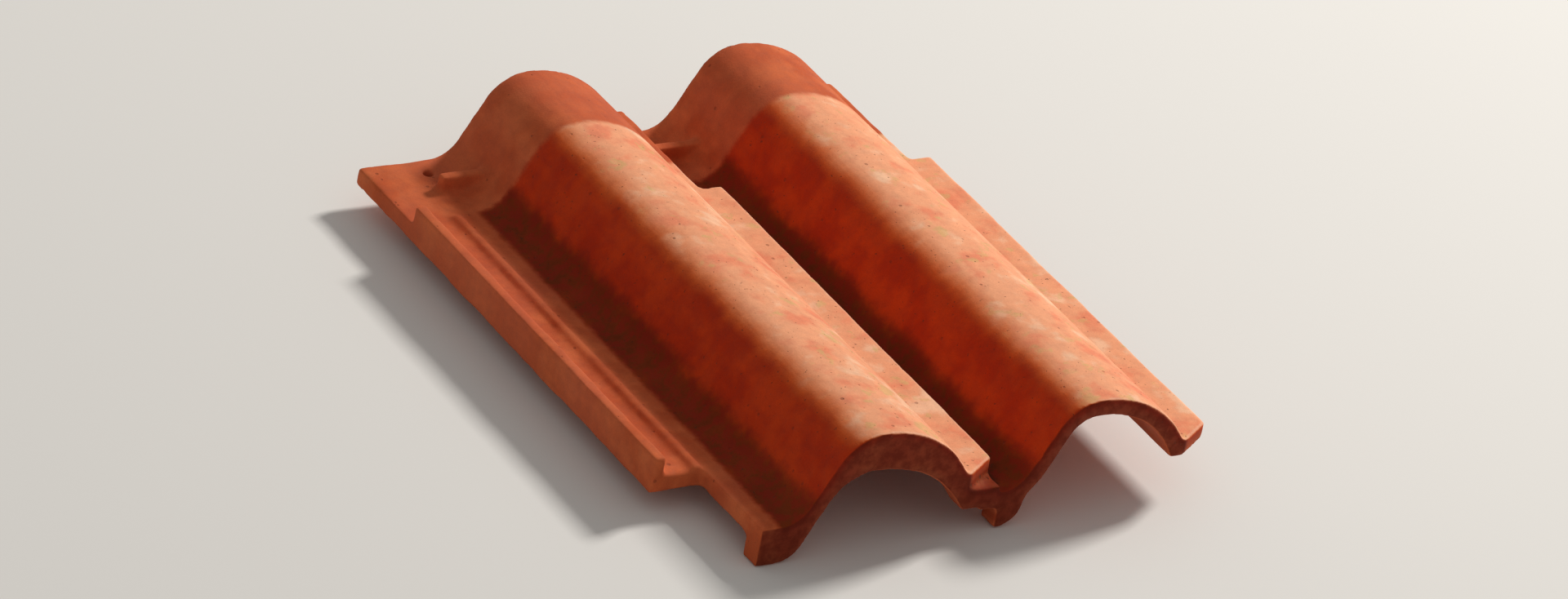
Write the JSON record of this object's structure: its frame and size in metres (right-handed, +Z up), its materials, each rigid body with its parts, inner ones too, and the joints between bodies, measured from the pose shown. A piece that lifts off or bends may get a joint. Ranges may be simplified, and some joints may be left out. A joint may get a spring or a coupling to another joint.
{
  "type": "clay roof tile",
  "caption": "Interlocking clay roof tile with rounded rolls and narrow pans, lipped along each roll, notched and ribbed at the head to lap the next course.",
  "frame": {"origin": "middle of the tile's plan, on the level that its lugs and tail rib stand on", "axes": "+X to the right looking up the roof slope, +Y along the tile from the exposed tail to the head, +Z up out of the roof"},
  "size_m": [0.3486, 0.425, 0.08],
  "materials": {
    "fired_clay": "matt unglazed terracotta, lightly weathered"
  },
  "bodies": {
    "root": {"roof_tile": "fired_clay"}
  },
  "joints": []
}
